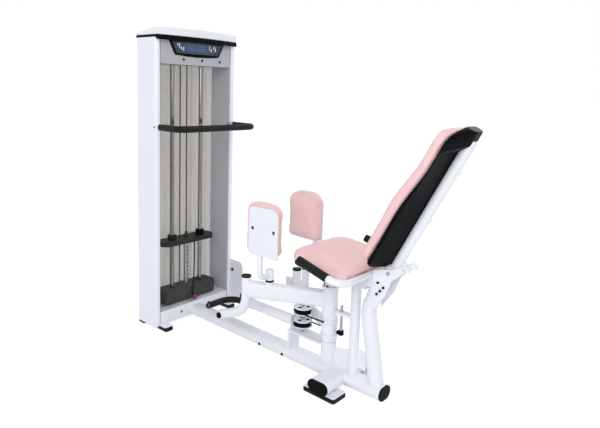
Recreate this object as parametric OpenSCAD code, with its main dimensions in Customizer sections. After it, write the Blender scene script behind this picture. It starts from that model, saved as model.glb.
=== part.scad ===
// Seated outer-thigh (hip abduction) machine with a weight-stack tower.
// Millimetres. +Z is up, the tower stands at -X, the sitter faces it.
// Left and right are the sitter's own: left is -Y, right is +Y.
// X is measured from the middle of the machine's length.

/* [Tower] */
// Distance from the middle of the machine to the tower's back face
tower_back = 837; // [830:1:845]
// Depth of the tower columns, front to back
tower_d = 165; // [160:1:175]
// Overall width across both columns
tower_w = 506; // [480:1:520]
// Width of one column seen from the front
column_w = 32; // [30:1:36]
// Height of the column tops
column_top = 1461; // [1440:1:1480]
// Lower edge of the smoked shields
shield_low = 83; // [80:1:90]
// Upper edge of the smoked shields
shield_high = 1338; // [1320:1:1350]
// Height of the grab bar across the tower
bar_z = 1030; // [980:1:1080]
// Reach of the grab bar in front of the columns
bar_reach = 176; // [140:1:190]

/* [Weight stack] */
// Number of weight plates on the stack
plate_count = 3; // [2:1:5]
// Width of a weight plate
plate_w = 328; // [300:1:340]
// Depth of a weight plate
plate_d = 100; // [90:1:100]
// Thickness of a weight plate
plate_t = 22; // [20:1:26]
// Distance between the guide rods
rod_gap = 184; // [170:1:200]
// Diameter of a guide rod
rod_d = 22; // [20:1:25]
// Underside of the head plate
head_z = 400; // [380:1:420]

/* [Base] */
// Width of the base rail
rail_w = 80; // [76:1:100]
// Height of the base rail
rail_h = 56; // [50:1:60]
// Height of the rail's centre above the floor
rail_z = 43; // [42:1:46]
// Rear end of the base rail
rail_end = 517; // [500:1:530]
// Half the length of the rear cross foot
foot_half = 149; // [140:1:180]
// Place of the rear cross foot along the machine
foot_x = 300; // [290:1:310]

/* [Arms] */
// Place of the arms' common pivot along the machine
pivot_x = 233; // [228:1:238]
// Diameter of the pivot column and its hubs
post_d = 66; // [62:1:68]
// Diameter of the fixed spindle inside the hubs
spindle_d = 38; // [34:1:40]
// Angle of each arm from the machine's centre line at rest
arm_angle = 26.6; // [25:0.1:28]
// Distance from the pivot to the upright at the arm's end
arm_reach = 380; // [370:1:390]
// Height of the arm beam's section
beam_h = 78; // [70:1:80]
// Width of the arm beam's section
beam_w = 46; // [40:1:48]
// Diameter of the bent leg tube at the arm's end
leg_d = 42; // [38:1:44]
// Distance from the pivot to the thigh pad's swivel
swivel_reach = 272; // [262:1:280]

/* [Thigh pads] */
// Width of a thigh cushion, along the machine
pad_w = 184; // [170:1:200]
// Height of a thigh cushion
pad_h = 229; // [220:1:240]
// Thickness of a thigh cushion over its crown
pad_t = 58; // [48:1:60]
// Height of the thigh pads' centres
pad_z = 642; // [630:1:655]
// Distance from the centre line to the back of a thigh shell
pad_y = 188; // [184:1:200]

/* [Seat] */
// Width of the seat cushion
seat_w = 356; // [330:1:370]
// Length of the seat cushion
seat_l = 334; // [320:1:338]
// Thickness of the seat cushion over its crown
seat_t = 60; // [56:1:70]
// Backward tilt of the seat
seat_tilt = 6; // [4:0.5:8]

/* [Backrest] */
// Recline of the back tube from upright
recline = 27.7; // [26.5:0.1:29]
// Width of the back cushion
back_w = 284; // [260:1:300]
// Length of the back cushion
back_l = 618; // [590:1:624]
// Thickness of the back cushion over its crown
back_t = 48; // [40:1:52]

/* [Hidden] */
$fn = 48;

// Clearances: a running fit, pieces of one body, soft pieces, and pieces that pass each other
run_gap = 0.05;
seat_gap = 0.1;
cloth_gap = 0.3;
free_gap = 0.4;
// How much thinner a tube is in a bend than in its straights
bend_neck = 0.2;

// Tower frame
tower_front = tower_d - tower_back;
tower_mid = tower_d / 2 - tower_back;
column_y = tower_w / 2 - column_w / 2;
inner_y = tower_w / 2 - column_w;
pad_under = 12;
sheet = 4;
cap_side_h = 11;
cap_tilt = 8;
band_h = 12;
cap_bow = 30;
cap_over = 2;
bar_d = 32;
bar_socket = 20;
ferrule_l = 18;
foot_ledge = 58;
foot_plate_y = 210;

// Stack
stack_x = tower_mid - 8;
bumper_top = shield_low + 10;
stem_d = 24;
pin_d = 10;
pin_z = bumper_top + plate_t / 2;
head_t = 22;
cable_d = 6;
cable_low = head_z + head_t + 30;
top_pulley_r = 28.5;
top_pulley_z = shield_high + 52;
base_pulley_r = 18;
base_pulley_z = 58;
back_run_x = stack_x - 2 * top_pulley_r;

// Base and pivot column
rail_start = tower_mid + 76;
rail_top = rail_z + rail_h / 2;
sleeve_top = 170;
right_hub = [172, 252];
left_hub = [254, 402];
post_top = 414;
left_beam_z = 353;
right_beam_z = 229;
right_beam_h = 46;
drum_h = 15;
left_leg_top = 407;
right_leg_top = 357;
leg_arc_top = 318;
leg_bend = 68;
leg_bend_r = 100;
leg_run = 113;
swivel_pin_d = 20;
swivel_base = 405;
collar_h = 7;
pad_post_d = 26;
pad_shell_t = 5;
shell_low = pad_z - pad_h / 2 - 1.5;
shell_h = 210;
shell_shift = 16;
pad_slide = [0, -46];

// Guide pulleys and foot bar
guide_x = 84;
guide_r = 42;
upper_guide_z = 262;
lower_guide_z = 203;
left_cable_z = upper_guide_z;
right_cable_z = lower_guide_z - 7;
bracket_z = 160;
stem_z = 195;
stem_front = -232;
stem_rear = 24;
foot_bar_d = 30;
foot_bar_x = -368;
foot_bar_y = 168;
foot_bar_off = 17;

// Seat and handle
seat_x = 288;
seat_top = 588;
seat_lift = 32;
board_t = 14;
handle_x = 448;
handle_z = 524;
handle_half = 230;
handle_d = 28;
handle_slope = 15;
handle_run = 202;
handle_bend = 60;
grip_l = 140;
grip_d = 34;

// Rear post and backrest
rear_post_d = 62;
clamp_low = 470;
clamp_front = 436;
clamp_half = 31;
recline_x = 530;
recline_z = 548;
back_tube_d = 40;
back_tube_l = 604;
back_foot = 12;
back_rear = 46;
back_sway = 13;

function hundredth(v) = round(100 * v) / 100;
function unit(v) = v / norm(v);
function bend_angle(a, b, c) = acos(unit(b - a) * unit(c - b));
function bend_trim(a, b, c, r) = r * tan(bend_angle(a, b, c) / 2);
function trim_at(p, i, r) = (i == 0 || i == len(p) - 1) ? 0 : bend_trim(p[i - 1], p[i], p[i + 1], r);

// Rectangle with round corners, centred
module round_rect(x, y, r) {
    square([x, y - 2 * r], center = true);
    square([x - 2 * r, y], center = true);
    for (sx = [-1, 1], sy = [-1, 1]) translate([sx * (x / 2 - r), sy * (y / 2 - r)]) circle(r);
}

// Flat-oval tube section, centred, long side along X
module flat_oval(x, y) {
    square([x - y, y], center = true);
    for (s = [-1, 1]) translate([s * (x - y) / 2, 0]) circle(d = y);
}

// Round bar between two points
module bar(a, b, d) {
    v = b - a;
    translate(a) rotate([0, acos(v.z / norm(v)), atan2(v.y, v.x)]) cylinder(d = d, h = norm(v));
}

// Quarter-ring or other arc of a bent bar at the middle one of three points
module bend(a, b, c, d, r) {
    u = unit(b - a);
    v = unit(c - b);
    n = unit(v - u * (u * v));
    o = b - u * bend_trim(a, b, c, r) + n * r;
    w = cross(-n, u);
    multmatrix([[-n.x, u.x, w.x, o.x], [-n.y, u.y, w.y, o.y], [-n.z, u.z, w.z, o.z], [0, 0, 0, 1]])
        rotate_extrude(angle = bend_angle(a, b, c)) translate([r, 0]) circle(d = d);
}

// Bar bent with one radius along a line of points; a neck thins the bends, and the straights lap over them
module bent_bar(p, d, r, neck = 0) {
    last = len(p) - 1;
    lap = neck > 0 ? 1 : 0;
    for (i = [0 : last - 1]) {
        u = unit(p[i + 1] - p[i]);
        from = i == 0 ? 0 : trim_at(p, i, r) - lap;
        to = i + 1 == last ? 0 : trim_at(p, i + 1, r) - lap;
        bar(p[i] + u * from, p[i + 1] - u * to, d);
    }
    if (last > 1) for (i = [1 : last - 1]) bend(p[i - 1], p[i], p[i + 1], d - neck, r);
}

// Rounded end of an outline: how far the side steps in at v from the middle of a length l
function corner_step(v, l, r) =
    let (d = l / 2 - abs(v)) d < r ? r - sqrt(max(0, r * r - (r - d) * (r - d))) : 0;

// Rows along a cushion, closer together at both ends
function cushion_rows(l, n) =
    [for (i = [0 : n]) let (a = 180 * i / n) -l / 2 * (0.35 * cos(a) + 0.65 * (1 - 2 * i / n))];

// Half width of a row: round corners, and sides drawn in between them
function row_half(v, w, l, r_low, r_high, pull) =
    w / 2 - corner_step(v, l, v < 0 ? r_low : r_high) - pull * (1 - pow(2 * v / l, 2));

// Closed skin round a stack of loops that all have the same number of points
module loft(loops) {
    n = len(loops[0]);
    m = len(loops);
    points = [for (g = loops) each g];
    wall = [for (k = [0 : m - 2], i = [0 : n - 1]) let (j = (i + 1) % n)
        each [[k * n + i, k * n + n + j, k * n + n + i], [k * n + i, k * n + j, k * n + n + j]]];
    first = [for (i = [1 : n - 2]) [0, i + 1, i]];
    last = [for (i = [1 : n - 2]) [(m - 1) * n, (m - 1) * n + i, (m - 1) * n + i + 1]];
    polyhedron(points, concat(wall, first, last), convexity = 6);
}

// Rolled section of a cushion, as shares of its half width and of its thickness
cushion_section = [
    [-0.95, 0], [0.95, 0], [1, 0.22], [1, 0.5], [0.985, 0.72], [0.93, 0.88], [0.75, 0.96], [0.4, 0.99],
    [0, 1], [-0.4, 0.99], [-0.75, 0.96], [-0.93, 0.88], [-0.985, 0.72], [-1, 0.5], [-1, 0.22]
];

// Upholstered cushion, X across and Y along, back on Z = 0, crowned to t.
// It is swayed along its length, and its back is lifted at the low end to pass over a tube.
module cushion(w, l, t, crown, r_low, r_high, edge, pull, sway = 0, lift = 0) {
    loft([for (v = cushion_rows(l, 22))
        let (d = min(1, (l / 2 - abs(v)) / edge),
             h = row_half(v, w, l, r_low, r_high, pull),
             roll = 0.5 + 0.5 * sqrt(1 - (1 - d) * (1 - d)),
             low = v < 24 - l / 2 ? lift : 0,
             tall = max(low + 8, (t - crown * pow(2 * v / l, 2)) * roll))
        [for (q = cushion_section) [h * q[0], v, low + (tall - low) * q[1] + sway * cushion_sway(v, l)]]]);
}

// Gentle S of a back pad: +1 in the lower half, -1 near the top
function cushion_sway(v, l) = let (u = v / l) u < -0.12 ? 1 : u > 0.3 ? -1 : cos(180 * (u + 0.12) / 0.42);

// Grooved wheel about Z, centred on Z = 0
module sheave(r, groove, width, bore) {
    rotate_extrude() difference() {
        translate([bore / 2, -width / 2]) square([r - bore / 2, width]);
        translate([groove + cable_d / 2, 0]) circle(d = cable_d + 0.6);
        translate([groove + cable_d / 2, -cable_d / 2 - 0.3]) square([r, cable_d + 0.6]);
    }
}

module tower_column(s) {
    color("white") {
        difference() {
            translate([tower_mid, s * column_y, pad_under])
                linear_extrude(column_top - pad_under) difference() {
                    round_rect(tower_d, column_w, column_w / 2 - 1);
                    round_rect(tower_d - 6, column_w - 6, column_w / 2 - 4);
                }
            translate([tower_front - bar_socket, s * column_y, bar_z])
                rotate([0, 90, 0]) cylinder(d = bar_d + 2 * seat_gap, h = bar_socket + 1);
        }
        translate([tower_front - 3, s * column_y, bar_z]) rotate([0, 90, 0]) difference() {
            cylinder(d = bar_d + 7, h = ferrule_l + 3);
            translate([0, 0, -1]) cylinder(d = bar_d + 2 * seat_gap, h = ferrule_l + 6);
        }
        difference() {
            translate([tower_mid + 76 + foot_ledge / 2, s * foot_plate_y, pad_under])
                linear_extrude(8) round_rect(foot_ledge, 50, 8);
            translate([tower_mid, s * column_y, 0])
                linear_extrude(60) round_rect(tower_d - 4, column_w - 4, column_w / 2 - 3);
        }
    }
}

module tower_column_left() { tower_column(-1); }
module tower_column_right() { tower_column(1); }

// Folded sheet base: a deck for the guide rods, a front apron and two pulley lugs
module tower_base() {
    lug_x = back_run_x + base_pulley_r;
    color("white") {
        difference() {
            translate([tower_mid - 76, -inner_y, shield_low - sheet]) cube([152, 2 * inner_y, sheet]);
            translate([back_run_x, 0, 0]) cylinder(d = 16, h = shield_low + 1);
        }
        difference() {
            translate([tower_mid + 72, -inner_y, 16]) cube([sheet, 2 * inner_y, shield_low - sheet - 16]);
            translate([tower_mid, 0, 40]) rotate([0, 90, 0]) cylinder(d = 30, h = 100);
        }
        translate([tower_mid - 76, -inner_y, 16]) cube([sheet, 2 * inner_y, shield_low - sheet - 16]);
        for (s = [-1, 1]) difference() {
            translate([lug_x - 14, s * 14 - 2, base_pulley_z - 16])
                cube([28, 4, shield_low - sheet - base_pulley_z + 16]);
            translate([lug_x, s * 14, base_pulley_z]) rotate([90, 0, 0]) cylinder(d = 10, h = 10, center = true);
        }
    }
}

// Channel across the columns that carries the top pulley, open upwards
module tower_top_beam() {
    color("white") {
        difference() {
            translate([tower_mid - 76, -inner_y, shield_high]) cube([152, 2 * inner_y, sheet]);
            translate([stack_x, 0, shield_high - 1]) cylinder(d = 20, h = 10);
            translate([back_run_x, 0, shield_high - 1]) cylinder(d = 16, h = 10);
        }
        for (x = [-76, 72]) translate([tower_mid + x, -inner_y, shield_high + sheet])
            cube([sheet, 2 * inner_y, column_top - shield_high - sheet]);
        for (s = [-1, 1]) difference() {
            translate([stack_x - top_pulley_r - 16, s * 16 - 2, shield_high + sheet])
                cube([32, 4, top_pulley_z - shield_high + 12]);
            translate([stack_x - top_pulley_r, s * 16, top_pulley_z])
                rotate([90, 0, 0]) cylinder(d = 12, h = 10, center = true);
        }
    }
}

// Plan of the cap: square at the back, bowed out at the front
module cap_plan(inset) {
    bow_r = (pow(tower_w / 2 + cap_over, 2) + cap_bow * cap_bow) / (2 * cap_bow);
    front = tower_front + 8;
    intersection() {
        translate([-tower_back + inset, -tower_w / 2 - cap_over + inset])
            square([tower_d + 8 + cap_bow, tower_w + 2 * cap_over - 2 * inset]);
        translate([front + cap_bow - bow_r - inset, 0]) circle(bow_r, $fn = 360);
    }
}

// Black trim under the cap, with the hood that the placard hangs from
module cap_band() {
    color("black") {
        translate([0, 0, column_top]) linear_extrude(band_h) cap_plan(2);
        translate([tower_front - 6, 0, column_top]) rotate([90, 0, 90])
            linear_extrude(sheet) polygon([
                [-178, 0], [-138, -76], [-70, -81], [0, -83], [70, -81], [138, -76], [178, 0]
            ]);
    }
}

// White top cover, rising towards the sitter
module tower_cap() {
    low = column_top + band_h;
    color("white") intersection() {
        translate([0, 0, low]) linear_extrude(80) cap_plan(0);
        translate([-tower_back, 0, low + cap_side_h]) rotate([0, -cap_tilt, 0])
            translate([-300, -400, -200]) cube([900, 800, 200]);
    }
}

// Plain dark instruction plate on the hood
module placard() {
    color("midnightblue") translate([tower_front - 2, 0, column_top]) rotate([90, 0, 90])
        linear_extrude(2) polygon([[-162, -6], [-132, -68], [132, -68], [162, -6]]);
}

// Smoked sheet in front of the left half of the stack, with a turned-back edge
module front_shield() {
    width = inner_y - 18;
    color("dimgray", 0.5) translate([tower_front - 18, -inner_y, shield_low]) {
        cube([sheet, width, shield_high - shield_low]);
        translate([-16, width - sheet, 0]) cube([16, sheet, shield_high - shield_low]);
    }
}

module rear_shield() {
    color("dimgray", 0.5) translate([tower_mid - 76, -inner_y, shield_low])
        cube([sheet, 2 * inner_y, shield_high - shield_low]);
}

module guide_rods() {
    color("silver") for (s = [-1, 1])
        translate([stack_x, s * rod_gap / 2, shield_low]) cylinder(d = rod_d, h = shield_high - shield_low);
}

module rod_bumpers() {
    color("black") for (s = [-1, 1]) translate([stack_x, s * rod_gap / 2, shield_low]) difference() {
        cylinder(d = 50, h = bumper_top - shield_low - 0.2);
        translate([0, 0, -1]) cylinder(d = rod_d + 2 * seat_gap, h = 20);
    }
}

// Padded grab bar from column to column
module grab_bar() {
    x0 = tower_front - bar_socket;
    x1 = tower_front + bar_reach;
    color("black") bent_bar([
        [x0, -column_y, bar_z], [x1, -column_y, bar_z], [x1, column_y, bar_z], [x0, column_y, bar_z]
    ], bar_d, 42);
}

// Side plate on the front edge of the right column
module column_bracket() {
    color("white") difference() {
        translate([tower_front - 8, tower_w / 2 - 8, 30]) rotate([90, 0, 0]) linear_extrude(6) difference() {
            union() {
                square([109, 205]);
                square([79, 235]);
                translate([79, 205]) circle(30);
            }
            translate([31, 180]) circle(d = 12);
        }
        translate([tower_mid, column_y, 0]) linear_extrude(400) round_rect(tower_d, column_w, column_w / 2 - 1);
    }
}

module tower_foot_pads() {
    color("black") for (s = [-1, 1]) {
        translate([tower_front + foot_ledge / 2 - 20, s * foot_plate_y, 0])
            linear_extrude(pad_under) round_rect(foot_ledge + 36, 46, 8);
        translate([-tower_back + 30, s * column_y, 0]) linear_extrude(pad_under) round_rect(50, 28, 8);
    }
}

module rail_solid() {
    translate([rail_start, 0, rail_z]) rotate([90, 0, 90])
        linear_extrude(rail_end - rail_start) flat_oval(rail_w, rail_h);
}

// Hollow flat-oval spine of the machine
module base_rail() {
    color("white") difference() {
        rail_solid();
        translate([rail_start - 1, 0, rail_z]) rotate([90, 0, 90])
            linear_extrude(rail_end - rail_start + 2) flat_oval(rail_w - 6, rail_h - 6);
    }
}

module rail_end_cap() {
    color("black") translate([rail_end, 0, rail_z]) rotate([90, 0, 90]) {
        linear_extrude(6) flat_oval(rail_w, rail_h);
        translate([0, 0, -20]) linear_extrude(20) flat_oval(rail_w - 6.4, rail_h - 6.4);
    }
}

// Cross foot: two flat-oval stubs welded to the rail, each on a ground plate
module rear_foot() {
    color("white") for (s = [-1, 1]) {
        difference() {
            translate([foot_x, 0, rail_z]) rotate([-90 * s, 0, 0]) linear_extrude(foot_half) flat_oval(100, 50);
            rail_solid();
        }
        translate([foot_x, s * (foot_half - 42), pad_under]) linear_extrude(rail_z - 25 - pad_under)
            round_rect(160, 84, 10);
    }
}

module rear_foot_caps() {
    color("black") for (s = [-1, 1])
        translate([foot_x, s * foot_half, rail_z]) rotate([-90 * s, 0, 0]) linear_extrude(7) flat_oval(100, 50);
}

module rear_foot_pads() {
    color("black") for (s = [-1, 1])
        translate([foot_x, s * (foot_half - 42), 0]) linear_extrude(pad_under) round_rect(164, 88, 12);
}

// Fixed pivot column: lower sleeve on the rail, inner spindle, and the top disc with its bolts
module pivot_post() {
    color("white") {
        difference() {
            translate([pivot_x, 0, rail_z]) cylinder(d = post_d, h = sleeve_top - rail_z);
            rail_solid();
        }
        translate([pivot_x, 0, sleeve_top]) cylinder(d = spindle_d, h = post_top - 10 - sleeve_top);
        translate([pivot_x, 0, post_top - 10]) cylinder(d = post_d + 8, h = 10);
        for (a = [150, 210, 270])
            translate([pivot_x + 24 * cos(a), 24 * sin(a), post_top]) cylinder(d = 10, h = 5);
    }
}

// Shelf in front of the pivot column for the guide pulleys and the foot bar
module pulley_bracket() {
    color("white") difference() {
        union() {
            translate([stem_rear, -34, bracket_z - 8]) cube([pivot_x - stem_rear - 10, 68, 8]);
            translate([stem_rear, -34, rail_top - 10]) cube([12, 68, bracket_z - 8 - rail_top + 10]);
            translate([stem_rear, -20, bracket_z]) cube([8, 40, 62]);
        }
        translate([pivot_x, 0, 100]) cylinder(d = post_d + 2 * seat_gap, h = 100);
        rail_solid();
        translate([guide_x, 0, bracket_z - 20]) cylinder(d = 14, h = 40);
    }
}

// Straight stem of the foot bar, with a ring at its front end
module foot_bar_stem() {
    color("white") {
        translate([stem_front, 0, stem_z]) rotate([0, 90, 0]) cylinder(d = 46, h = stem_rear - stem_front);
        translate([stem_front - 12, 0, stem_z]) rotate([0, 90, 0]) cylinder(d = 50, h = 12);
    }
}

// Two sleeved foot bars that leave the stem side by side and turn outwards
module foot_bar() {
    for (s = [-1, 1]) color("black") {
        bent_bar([
            [stem_front - 12, s * foot_bar_off, stem_z], [foot_bar_x, s * foot_bar_off, stem_z],
            [foot_bar_x, s * foot_bar_y, stem_z]
        ], foot_bar_d, 70);
        translate([foot_bar_x, s * foot_bar_y, stem_z]) rotate([-90 * s, 0, 0]) cylinder(d = 24, h = 5);
    }
}

// Second upright under the seat, with its arched gusset and the plunger's shelf
module inner_post() {
    x = 364;
    color("white") {
        difference() {
            union() {
                translate([x, 0, rail_z]) cylinder(d = 42, h = 390 - rail_z);
                translate([pivot_x + 20, 3, rail_z]) rotate([90, 0, 0]) linear_extrude(6) difference() {
                    polygon([[0, 0], [0, 100], [80, 118], [105, 150], [190, 130], [205, 0]]);
                    translate([150, 0]) circle(r = 60);
                }
                translate([pivot_x + 36, -14, 302]) cube([x - pivot_x - 36, 28, 14]);
            }
            rail_solid();
            translate([pivot_x, 0, 20]) cylinder(d = post_d + 2 * seat_gap, h = 400);
            translate([pivot_x + 62, 0, 290]) cylinder(d = 12.1, h = 40);
            translate([425, -50, 20]) cube([200, 100, 240]);
        }
    }
}

// Bent rear upright with the block that clamps the seat handle on its top
module rear_post() {
    color("white") {
        difference() {
            intersection() {
                bent_bar([[488, 0, 20], [426, 0, 368], [488, 0, 520]], rear_post_d, 110, bend_neck);
                translate([300, -100, rail_z]) cube([400, 200, clamp_low - rail_z]);
            }
            rail_solid();
        }
        difference() {
            translate([clamp_front, -clamp_half, clamp_low]) cube([494 - clamp_front, 2 * clamp_half, 70]);
            translate([handle_x, 0, handle_z]) rotate([90, 0, 0])
                cylinder(d = handle_d + 2 * seat_gap, h = 100, center = true);
            translate([recline_x, 0, recline_z]) rotate([90, 0, 0]) cylinder(d = 84, h = 100, center = true);
        }
    }
}

module at_seat() {
    translate([seat_x, 0, seat_top - seat_t]) rotate([0, seat_tilt, 0]) children();
}

// Sloping box beam under the seat board, standing on the pivot column
module seat_frame() {
    color("white") difference() {
        union() {
            at_seat() translate([-130, -34, -board_t - 44]) cube([300, 68, 44]);
            translate([pivot_x, 0, post_top]) cylinder(d = 50, h = 68);
            translate([364, 0, 390]) cylinder(d = 42, h = 78);
        }
        for (a = [150, 210, 270])
            translate([pivot_x + 24 * cos(a), 24 * sin(a), post_top - 1]) cylinder(d = 11, h = 6.4);
        translate([clamp_front, -60, clamp_low - 60]) cube([200, 120, 160]);
        translate([clamp_front - 11, -60, clamp_low - 60]) cube([100, 120, 60]);
    }
}

// Black board that the seat cushion is fixed to
module seat_board() {
    color("black") at_seat() translate([-10, 0, -board_t])
        linear_extrude(board_t) round_rect(seat_l - 50, seat_w - 26, 60);
}

module seat_cushion() {
    color("pink") at_seat() translate([0, 0, cloth_gap]) rotate([0, 0, 90])
        cushion(seat_w, seat_l, seat_t, 12, 58, 84, 34, 5, lift = seat_lift);
}

module at_handle() {
    translate([handle_x, 0, handle_z]) rotate([0, handle_slope, 0]) children();
}

// One bent tube from the left grip, round behind the seat, to the right grip
module seat_handle() {
    color("white") at_handle() bent_bar([
        [-handle_run, -handle_half, 0], [0, -handle_half, 0], [0, handle_half, 0], [-handle_run, handle_half, 0]
    ], handle_d, handle_bend);
}

module handle_grips() {
    color("black") at_handle() for (s = [-1, 1]) {
        translate([-handle_run, s * handle_half, 0]) rotate([0, 90, 0]) difference() {
            cylinder(d = grip_d, h = grip_l);
            translate([0, 0, -1]) cylinder(d = handle_d + 2 * seat_gap, h = grip_l + 2);
        }
        translate([-handle_run - 8, s * handle_half, 0]) rotate([0, 90, 0]) cylinder(d = grip_d, h = 8);
    }
}

// Pair of side plates behind the rear post that hold the back tube's foot
module recline_plates() {
    color("white") for (s = [-1, 1]) translate([0, s * (clamp_half + 3.2) + 3, 0]) rotate([90, 0, 0])
        linear_extrude(6) difference() {
            polygon([
                [463, 375], [518, 451], [534, 490], [545, 520], [600, 566], [623, 572], [598, 596],
                [582, 584], [548, 567], [505, 558], [466, 545], [458, 470]
            ]);
            translate([recline_x, recline_z]) circle(d = 14);
            translate([596, 574]) circle(d = 12);
        }
}

// Bolts that the wheels and the back tube turn on
module pulley_axles() {
    color("silver") {
        translate([stack_x - top_pulley_r, 0, top_pulley_z])
            rotate([90, 0, 0]) cylinder(d = 12, h = 42, center = true);
        translate([back_run_x + base_pulley_r, 0, base_pulley_z])
            rotate([90, 0, 0]) cylinder(d = 10, h = 38, center = true);
        translate([guide_x, 0, bracket_z - 14]) cylinder(d = 14, h = upper_guide_z - bracket_z + 34);
        translate([recline_x, 0, recline_z]) rotate([90, 0, 0]) cylinder(d = 14, h = 84, center = true);
    }
}

module top_pulley() {
    color("black") translate([stack_x - top_pulley_r, 0, top_pulley_z]) rotate([90, 0, 0])
        sheave(top_pulley_r + 6, top_pulley_r - cable_d / 2, 18, 12 + 2 * run_gap);
}

module base_pulley() {
    color("black") translate([back_run_x + base_pulley_r, 0, base_pulley_z]) rotate([90, 0, 0])
        sheave(base_pulley_r + 2.5, base_pulley_r - cable_d / 2, 18, 10 + 2 * run_gap);
}

// Flanged cable wheel with three round windows
module guide_pulley() {
    color("white") difference() {
        union() {
            translate([0, 0, 11]) cylinder(r = guide_r, h = 4);
            translate([0, 0, -11]) cylinder(r = guide_r - 5, h = 22);
            translate([0, 0, -15]) cylinder(r = guide_r, h = 4);
        }
        translate([0, 0, -20]) cylinder(d = 14 + 2 * run_gap, h = 40);
        for (a = [30, 150, 270]) rotate([0, 0, a]) translate([22, 0, -20]) cylinder(d = 17, h = 40);
    }
}

module guide_pulley_upper() { translate([guide_x, 0, upper_guide_z]) guide_pulley(); }
module guide_pulley_lower() { translate([guide_x, 0, lower_guide_z]) guide_pulley(); }

// Each cable wraps the front of its wheel and runs back to its arm's drum, on the arm's own side
module arm_cables() {
    r = guide_r - 5 + cable_d / 2 + free_gap;
    color("black") for (c = [[-1, left_cable_z], [1, right_cable_z]]) translate([guide_x, 0, c[1]]) {
        rotate([0, 0, 90]) rotate_extrude(angle = 180) translate([r, 0]) circle(d = cable_d);
        translate([0, c[0] * r, 0]) rotate([0, 90, 0]) cylinder(d = cable_d, h = pivot_x - guide_x);
    }
}

// Cable from the top pulley down the back, round the base pulley and along inside the rail
module return_cable() {
    color("black") {
        translate([stack_x - top_pulley_r, 0, top_pulley_z]) rotate([90, 0, 0]) rotate_extrude(angle = 180)
            translate([top_pulley_r, 0]) circle(d = cable_d);
        translate([back_run_x, 0, base_pulley_z]) cylinder(d = cable_d, h = top_pulley_z - base_pulley_z);
        translate([back_run_x + base_pulley_r, 0, base_pulley_z]) rotate([90, 0, 0]) rotate([0, 0, 180])
            rotate_extrude(angle = 90) translate([base_pulley_r, 0]) circle(d = cable_d);
        translate([back_run_x + base_pulley_r, 0, base_pulley_z - base_pulley_r])
            rotate([0, 90, 0]) cylinder(d = cable_d, h = guide_x - back_run_x - base_pulley_r);
    }
}

module lift_cable() {
    color("black") translate([stack_x, 0, cable_low]) cylinder(d = cable_d, h = top_pulley_z - cable_low);
}

module stack_plan(w, r) {
    difference() {
        translate([stack_x, 0]) round_rect(plate_d, w, r);
        for (s = [-1, 1]) translate([stack_x, s * rod_gap / 2]) circle(d = rod_d + 4);
    }
}

module head_plate() {
    color("black") {
        translate([0, 0, head_z]) linear_extrude(head_t) difference() {
            stack_plan(plate_w, 40);
            for (s = [-1, 1]) translate([stack_x, s * rod_gap / 2]) circle(d = 36);
        }
        translate([stack_x, 0, head_z + head_t]) cylinder(d = 26, h = 12);
        translate([stack_x, 0, head_z + head_t + 12]) cylinder(d = 16, h = cable_low - head_z - head_t - 12);
    }
}

module head_bushings() {
    color("black") for (s = [-1, 1]) translate([stack_x, s * rod_gap / 2, head_z]) difference() {
        union() {
            cylinder(d = 36 - 2 * seat_gap, h = head_t);
            translate([0, 0, head_t]) cylinder(d = 46, h = 26);
        }
        translate([0, 0, -1]) cylinder(d = rod_d + 2 * run_gap, h = 60);
    }
}

// Lifting stem with a cross hole for every plate the stack can take
module selector_stem() {
    low = bumper_top + 3;
    color("silver") difference() {
        translate([stack_x, 0, low]) cylinder(d = stem_d, h = head_z - low);
        for (z = [pin_z : plate_t : head_z - 12])
            translate([stack_x, 0, z]) rotate([0, 90, 0]) cylinder(d = pin_d + 2 * run_gap, h = 60, center = true);
    }
}

// Cast plates with guide holes, a stem hole and a pin channel
module weight_plates() {
    color("dimgray") for (i = [0 : plate_count - 1]) translate([0, 0, bumper_top + i * plate_t]) difference() {
        linear_extrude(plate_t - 0.5) difference() {
            stack_plan(plate_w, 14);
            translate([stack_x, 0]) circle(d = stem_d + 3);
        }
        translate([stack_x, 0, plate_t / 2]) rotate([0, 90, 0]) cylinder(d = pin_d + 2 * run_gap, h = plate_d);
    }
}

// Selector pin with its ball knob
module selector_pin() {
    front = stack_x + plate_d / 2;
    color("red") translate([0, 0, pin_z]) {
        translate([stack_x - 12.5, 0, 0]) rotate([0, 90, 0]) cylinder(d = pin_d, h = front - stack_x + 26);
        translate([front + 1, 0, 0]) rotate([0, 90, 0]) cylinder(d = 16, h = 8);
        translate([front + 24, 0, 0]) sphere(d = 30);
    }
}

// Lanyard from the head plate down to the pin
module pin_lanyard() {
    color("black") intersection() {
        bar([stack_x + 44, 22, head_z + 4], [stack_x + plate_d / 2 + 8, 0, pin_z + 10], 4);
        translate([stack_x, -40, 0]) cube([plate_d, 100, head_z]);
    }
}

// Arm frame: X points from the arm's end to the pivot
module on_arm(s) {
    translate([pivot_x, 0, 0]) rotate([0, 0, -s * arm_angle]) children();
}

// Frame of the bent leg: upright on the arm's end, its foot pointing at the tower
module on_leg(s) {
    on_arm(s) translate([-arm_reach, 0, 0]) rotate([0, 0, s * arm_angle]) children();
}

function leg_path(top) = [
    [0, 0, top], [0, 0, leg_arc_top - leg_bend_r * tan(leg_bend / 2)],
    [-(leg_run + leg_bend_r * tan(leg_bend / 2)) * sin(leg_bend), 0,
     leg_arc_top - leg_bend_r * tan(leg_bend / 2) - (leg_run + leg_bend_r * tan(leg_bend / 2)) * cos(leg_bend)]
];

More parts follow.
